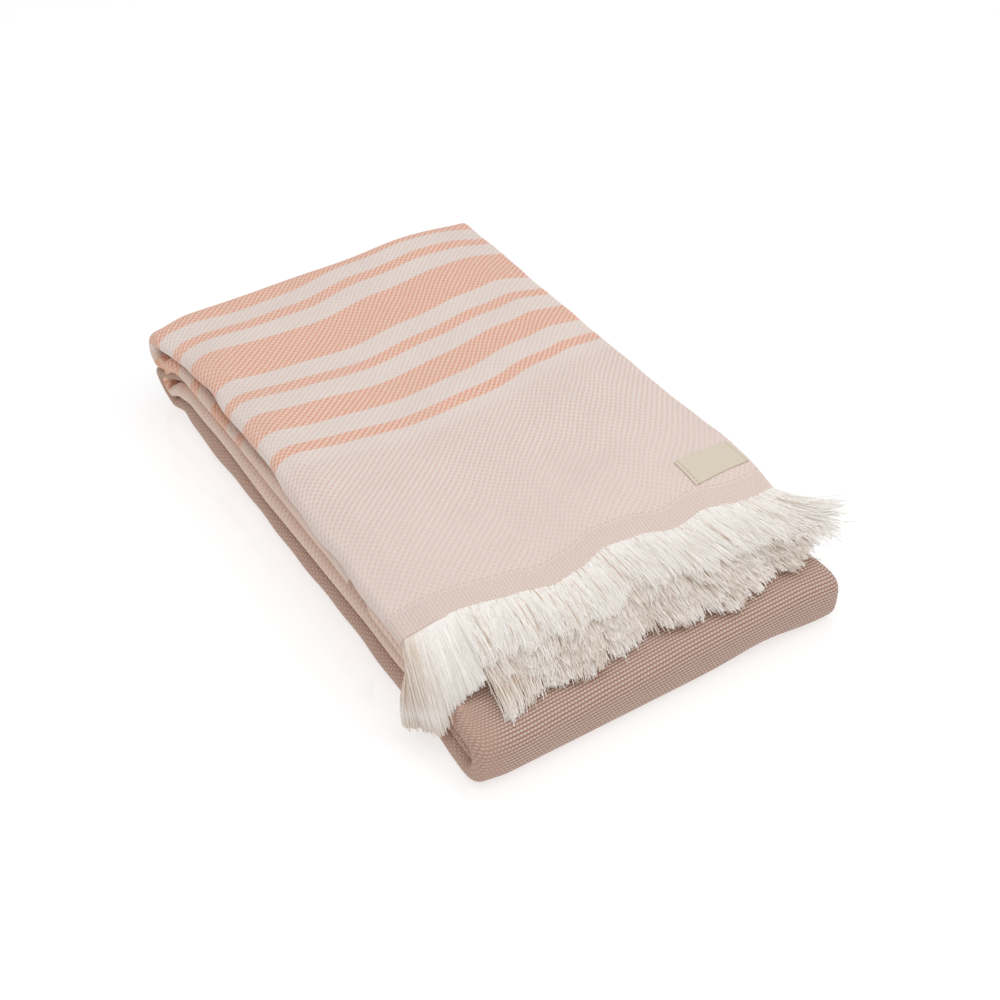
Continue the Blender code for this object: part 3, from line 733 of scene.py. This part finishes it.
def yarn_lines(name, paths, steps):
    """Open lines for the yarns, with the painted shade of each point, set by how deep in the
    fringe it lies.
    """
    mesh = bmesh.new()
    depth = mesh.verts.layers.float.new("depth")
    for handles, shade, tip_shade in paths:
        last = None
        for k in range(steps + 1):
            point = curve_point(handles, k / steps)
            vertex = mesh.verts.new(placed(*point))
            # Painted shade: full towards the roots, where the tiers above cover them, falling off
            # towards the tip, where the tip's own painted shade takes over.
            vertex[depth] = blend(tip_shade, shade * ease((1.06 - k / steps) / 0.42),
                                  ease((1.0 - k / steps) / 0.14))
            if last is not None:
                mesh.edges.new((last, vertex))
            last = vertex
    return kept(mesh, name)


def spinning_tree():
    """Geometry nodes that give every line of yarn its round, slightly uneven body."""
    tree = bpy.data.node_groups.new("spin yarns", "GeometryNodeTree")
    tree.interface.new_socket("Lines", in_out="INPUT", socket_type="NodeSocketGeometry")
    for label, kind, value in (("Yarn radius", "NodeSocketFloat", YARN),
                               ("Sides", "NodeSocketInt", 3), ("Seed", "NodeSocketInt", 7)):
        tree.interface.new_socket(label, in_out="INPUT", socket_type=kind).default_value = value
    tree.interface.new_socket("Material", in_out="INPUT", socket_type="NodeSocketMaterial")
    tree.interface.new_socket("Yarns", in_out="OUTPUT", socket_type="NodeSocketGeometry")

    def add(kind, links, **values):
        """A node with its linked inputs and its plain ones."""
        node = tree.nodes.new(kind)
        for key, value in values.items():
            node.inputs[key.replace("_", " ")].default_value = value
        for key, socket in links.items():
            tree.links.new(socket, node.inputs[key])
        return node

    entry = tree.nodes.new("NodeGroupInput").outputs
    lines = add("GeometryNodeMeshToCurve", {"Mesh": entry["Lines"]})
    uneven = add("FunctionNodeRandomValue", {"Seed": entry["Seed"]})
    uneven.inputs[2].default_value, uneven.inputs[3].default_value = 0.8, 1.15
    ring = add("GeometryNodeCurvePrimitiveCircle", {"Resolution": entry["Sides"],
                                                    "Radius": entry["Yarn radius"]})
    body = add("GeometryNodeCurveToMesh", {"Curve": lines.outputs[0],
                                           "Profile Curve": ring.outputs[0],
                                           "Scale": uneven.outputs[1]}, Fill_Caps=True)
    solid = add("GeometryNodeRealizeInstances", {"Geometry": body.outputs[0]})
    soft = add("GeometryNodeSetShadeSmooth", {"Geometry": solid.outputs[0]})
    dressed = add("GeometryNodeSetMaterial", {"Geometry": soft.outputs[0],
                                              "Material": entry["Material"]})
    tree.links.new(dressed.outputs[0], tree.nodes.new("NodeGroupOutput").inputs[0])
    return tree


def spin(lines, tree, material):
    """Turns lines of yarn into a plain mesh of yarns."""
    modifier = lines.modifiers.new("spin", "NODES")
    modifier.node_group = tree
    for socket in tree.interface.items_tree:
        if socket.name == "Material":
            modifier[socket.identifier] = material
    bpy.context.view_layer.update()
    yarns = bpy.data.meshes.new_from_object(lines.evaluated_get(
        bpy.context.evaluated_depsgraph_get()))
    lines.modifiers.remove(modifier)
    lines.data = yarns
    return lines


def undyed_yarn():
    """Off-white cotton yarn, painted warmer and darker as shade where it lies deep in the fringe.
    """
    material, start, shader = cotton("undyed yarn", 0.85)
    depth = start.node("ShaderNodeAttribute", {"attribute_name": "depth"}, {}, output="Fac")
    place = start.node("ShaderNodeTexCoord", {}, {}, output="Object")
    fibre = start.noise(place, 900.0)
    # The depth value mixes in painted tan shade.
    colour = (depth * depth * 0.85).mix(plain_colour(247, 243, 238), plain_colour(188, 147, 106))
    colour = (fibre.smooth(0.45, 0.75) * 0.15).mix(colour, plain_colour(232, 222, 210))
    finish_cotton(start, shader, colour, fibre, 0.0002)
    # Painted glow: the yarn's colour is emitted, standing in for light that passes through the
    # yarns.
    start.tree.links.new(colour.socket, shader.inputs["Emission Color"])
    shader.inputs["Emission Strength"].default_value = PAINTED_YARN_GLOW
    return material


def hem_roots(leg, share, place, flat_steps):
    """The folded end's centre line with its points in the stack's frame."""
    line = section(left_folds(leg, place), flat_steps, 24)
    return [(name, x, *sheet_point(leg, share, x, offset)) for name, x, offset in line]


def along_line(points, share):
    """A point at a share of a line's length, between its corners."""
    lengths = [0.0]
    for before, after in zip(points, points[1:]):
        lengths.append(lengths[-1] + (after - before).length)
    goal = share * lengths[-1]
    i = max(k for k, far in enumerate(lengths[:-1]) if far <= goal)
    span = lengths[i + 1] - lengths[i]
    return points[i].lerp(points[i + 1], (goal - lengths[i]) / span if span > 0 else 0.0)


chance = random.Random(11)
roots = hem_roots("top", 0.0, HEM_END, (60, 60, 60, 60))
upper, lower = [], []
for name, tier in TIERS.items():
    ply = [Vector(point[1:]) for point in roots if point[0] == name and point[1] > LIP_START]
    tufts = comb_tufts(chance)
    for _ in range(tier[0]):
        root = along_line(ply, chance.random())
        if name == "ply_0":
            root += Vector((0.0, 0.0005 + 0.0055 * chance.random() ** 2, CLOTH / 2 + 0.0001))
        else:
            root += Vector((0.0, 0.0008, chance.uniform(-0.4, 0.4) * CLOTH))
        handles = tier_handles(tier, tufts, root, chance)
        # Painted shade of each yarn, and painted shadow at the tips in patches along the hem, as
        # if cast by the yarns above.
        shade = max(tier[-1] * chance.uniform(0.3, 1.0),
                    chance.uniform(0.5, 1.0) * (chance.random() < SHADED_YARN_SHARE))
        shadowed_tips = ripple(root.x, (0.55, 23.0, 1.0), (0.45, 61.0, 2.0)) > 0.15
        tip_shade = chance.uniform(0.3, 1.0) * (0.85 if shadowed_tips else 0.25)
        (upper if name == "ply_0" else lower).append((handles, shade, tip_shade))
lip = [Vector(point[1:]) for point in roots
       if (point[0] == "ply_0" and point[1] <= LIP_START + 0.004) or point[0] == "lip"]
for _ in range(LIP_YARNS):
    share = chance.random()
    flat = 1.0 - ease(share / 0.4)
    root = along_line(lip, share) + Vector((0.0, 0.0008 + 0.005 * flat * chance.random() ** 2,
                                            flat * (CLOTH / 2 + 0.0001)))
    hanging = ease((share - 0.3) / 0.4)
    # Painted shade, deeper on the yarns that hang down the side.
    upper.append((drape_handles(root, share, chance),
                  blend(0.15, 0.95, hanging) * chance.uniform(0.3, 1.0), 0.7 * hanging))
yarn_body, yarn_finish = spinning_tree(), undyed_yarn()
fringe = [spin(yarn_lines("fringe_top_tier", upper, 7), yarn_body, yarn_finish),
          spin(yarn_lines("fringe_lower_tiers", lower, 5), yarn_body, yarn_finish)]
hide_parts("front_fringe")
for piece in fringe:
    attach(piece, "root")

# --- The hidden fringe --------------------------------------------------------------------------
# The cloth's other end has the same fringe. It lies inside the stack, in the space where the
# layers above step down, and can only be glimpsed from the sides.

HIDDEN_YARNS, HIDDEN_REACH = 700, 0.034
HIDDEN_TIPS = {"ply_0": 0.0171, "ply_1": 0.0194, "ply_3": 0.0217, "ply_2": 0.0240}

hidden = []
roots = hem_roots("inner", 1.0, INNER_END, (30, 30, 30, 30))
for name, tip_z in HIDDEN_TIPS.items():
    ply = [Vector(point[1:]) for point in roots if point[0] == name and point[1] > LIP_START]
    for _ in range(HIDDEN_YARNS // len(HIDDEN_TIPS)):
        root = along_line(ply, chance.random()) + Vector((0.0, 0.0008, 0.0))
        tip = Vector((root.x + chance.gauss(0, 0.002),
                      root.y - HIDDEN_REACH * chance.uniform(0.85, 1.0),
                      tip_z + chance.gauss(0, 0.0006)))
        # The hidden yarns carry painted shade, deeper along them than at their tips.
        hidden.append(((root, root.lerp(tip, 0.33), root.lerp(tip, 0.67), tip), 0.6, 0.2))
hidden_fringe = spin(yarn_lines("hidden_fringe", hidden, 4), yarn_body, yarn_finish)
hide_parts("inner_fringe")
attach(hidden_fringe, "root")

# --- The label ----------------------------------------------------------------------------------
# A small blank tape of beige cotton, woven closer than the towel. It lies on the cloth near the
# front right corner and is sewn down along its two short ends.

LABEL_SIZE = (0.043, 0.021, 0.0008)
LABEL_CORNERS = ((0.2045, 0.1030), (0.2465, 0.1040), (0.2480, 0.0840), (0.2055, 0.0820))
LABEL_LIFT = 0.0003         # air between the tape and the cloth
TAPE_PICK, TAPE_END = 0.00055, 0.00045   # from thread to thread, along and across
SEAM_INSET, STITCH_PITCH = 0.0022, 0.0026
TAPE, TAPE_DARK = plain_colour(233, 222, 205), plain_colour(212, 197, 176)
STITCH = plain_colour(196, 178, 152)

bpy.context.view_layer.update()
ground = BVHTree.FromObject(cloth, bpy.context.evaluated_depsgraph_get())


def make_label():
    """The tape as a thin plate that follows the cloth, with flat measures in its UV map."""
    columns, rows = 44, 22
    mesh = bmesh.new()
    tape = mesh.loops.layers.uv.new("tape")
    grid, measures = {}, {}
    corners = [Vector((x - MIDDLE_X, y - MIDDLE_Y)) for x, y in LABEL_CORNERS]
    for i in range(columns + 1):
        for j in range(rows + 1):
            across, up = i / columns, j / rows
            near, far = (corners[a].lerp(corners[b], across) for a, b in ((3, 2), (0, 1)))
            spot = near.lerp(far, up)
            rim = min(i, columns - i, 2 * j, 2 * (rows - j)) / 2
            z = ground.ray_cast(Vector((*spot, 2 * STACK)), Vector((0, 0, -1)))[0].z
            rise = LABEL_SIZE[2] * (0.75 + 0.25 * ease(rim / 1.5))
            for side, height in enumerate((LABEL_LIFT, LABEL_LIFT + rise)):
                grid[i, j, side] = mesh.verts.new((*spot, z + height))
                measures[grid[i, j, side]] = (across * LABEL_SIZE[0], up * LABEL_SIZE[1])
    for i in range(columns):
        for j in range(rows):
            for side in (0, 1):
                mesh.faces.new([grid[i + di, j + dj, side]
                                for di, dj in ((0, 0), (1, 0), (1, 1), (0, 1))])
    rim = [(i, 0) for i in range(columns)] + [(columns, j) for j in range(rows)]
    rim += [(i, rows) for i in range(columns, 0, -1)] + [(0, j) for j in range(rows, 0, -1)]
    for (i, j), (k, m) in zip(rim, rim[1:] + rim[:1]):
        mesh.faces.new((grid[i, j, 0], grid[k, m, 0], grid[k, m, 1], grid[i, j, 1]))
    for face in mesh.faces:
        face.smooth = True
        for loop in face.loops:
            loop[tape].uv = measures[loop.vert]
    bmesh.ops.recalc_face_normals(mesh, faces=mesh.faces)
    return kept(mesh, "label_tape")


def beige_tape():
    """Close plain weave, with a row of stitches along both short ends."""
    material, start, shader = cotton("beige tape", 0.8)
    flat = start.node("ShaderNodeUVMap", {"uv_map": "tape"}, {})
    across, up = flat.axis("X"), flat.axis("Y")
    picks, ends = up.wave(TAPE_PICK) * 0.5 + 0.5, across.wave(TAPE_END) * 0.5 + 0.5
    mottle = start.grain(across * 400.0, up * 900.0)
    seam = across.math("MINIMUM", across, LABEL_SIZE[0] - across) - SEAM_INSET
    seam = seam.size().smooth(0.0004, 0.0002)
    seam = seam * (up / STITCH_PITCH).off_grid().size().smooth(0.40, 0.32)
    colour = (picks * 0.35 + mottle * 0.4).mix(TAPE, TAPE_DARK)
    colour = seam.mix(colour, STITCH)
    finish_cotton(start, shader, colour, picks * 0.4 + ends * 0.3 + mottle * 0.4 - seam, 0.0003)
    return material


label = make_label()
label.data.materials.append(beige_tape())
label.data.set_sharp_from_angle(angle=math.radians(50))
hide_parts("label")
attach(label, "root")

# --- Floor, light and camera --------------------------------------------------------------------
# A plain white, slightly glossy floor under broad soft light, as a photographer's table has, and
# a camera a metre away, above the towel's front left corner.

FLOOR_GREY, FLOOR_GLOW = (0.45, 0.45, 0.45), 0.61
CAMERA_AZIMUTH, CAMERA_ELEVATION, CAMERA_DISTANCE = -32.8, 40.4, 1.000
CAMERA_TARGET = Vector((-0.01036, -0.04655, 0.0335))
CAMERA_LENS = 58.03


def direction(azimuth, elevation):
    """Unit vector towards a place in the sky; azimuth 0 is in front of the towel."""
    a, e = math.radians(azimuth), math.radians(elevation)
    return Vector((math.sin(a) * math.cos(e), -math.cos(a) * math.cos(e), math.sin(e)))


def add_floor():
    mesh = bpy.data.meshes.new("floor")
    reach = 6.0
    mesh.from_pydata([(-reach, -reach, 0), (reach, -reach, 0), (reach, reach, 0),
                      (-reach, reach, 0)], [], [(0, 1, 2, 3)])
    floor = bpy.data.objects.new("floor", mesh)
    bpy.context.scene.collection.objects.link(floor)
    material = bpy.data.materials.new("white floor")
    material.use_nodes = True
    shader = material.node_tree.nodes["Principled BSDF"]
    shader.inputs["Base Color"].default_value = (*FLOOR_GREY, 1.0)
    shader.inputs["Roughness"].default_value = 0.06
    shader.inputs["Specular IOR Level"].default_value = 1.0
    shader.inputs["Emission Color"].default_value = (1.0, 1.0, 1.0, 1.0)
    shader.inputs["Emission Strength"].default_value = FLOOR_GLOW
    mesh.materials.append(material)


def add_light(name, azimuth, elevation, distance, size, power):
    """A square soft box that faces the towel."""
    lamp = bpy.data.lights.new(name, "AREA")
    lamp.size, lamp.energy = size, power
    box = bpy.data.objects.new(name, lamp)
    box.location = direction(azimuth, elevation) * distance
    box.rotation_euler = (-direction(azimuth, elevation)).to_track_quat("-Z", "Y").to_euler()
    bpy.context.scene.collection.objects.link(box)


add_floor()
add_light("overhead soft box", 10.0, 80.0, 1.6, 1.6, 10.5)
add_light("right soft box", 60.0, 45.0, 1.8, 1.0, 3.5)
add_light("left soft box", -100.0, 35.0, 1.8, 1.0, 1.0)

world = bpy.data.worlds.new("studio")
world.use_nodes = True
world.node_tree.nodes["Background"].inputs["Color"].default_value = (1.0, 1.0, 1.0, 1.0)
world.node_tree.nodes["Background"].inputs["Strength"].default_value = 0.55
bpy.context.scene.world = world
bpy.context.scene.view_settings.view_transform = "Standard"

lens = bpy.data.cameras.new("camera")
lens.lens, lens.sensor_width = CAMERA_LENS, 36.0
lens.clip_start, lens.clip_end = 0.05, 20.0
camera = bpy.data.objects.new("camera", lens)
camera.location = CAMERA_TARGET + direction(CAMERA_AZIMUTH, CAMERA_ELEVATION) * CAMERA_DISTANCE
camera.rotation_euler = (-direction(CAMERA_AZIMUTH, CAMERA_ELEVATION)).to_track_quat(
    "-Z", "Y").to_euler()
bpy.context.scene.collection.objects.link(camera)
bpy.context.scene.camera = camera
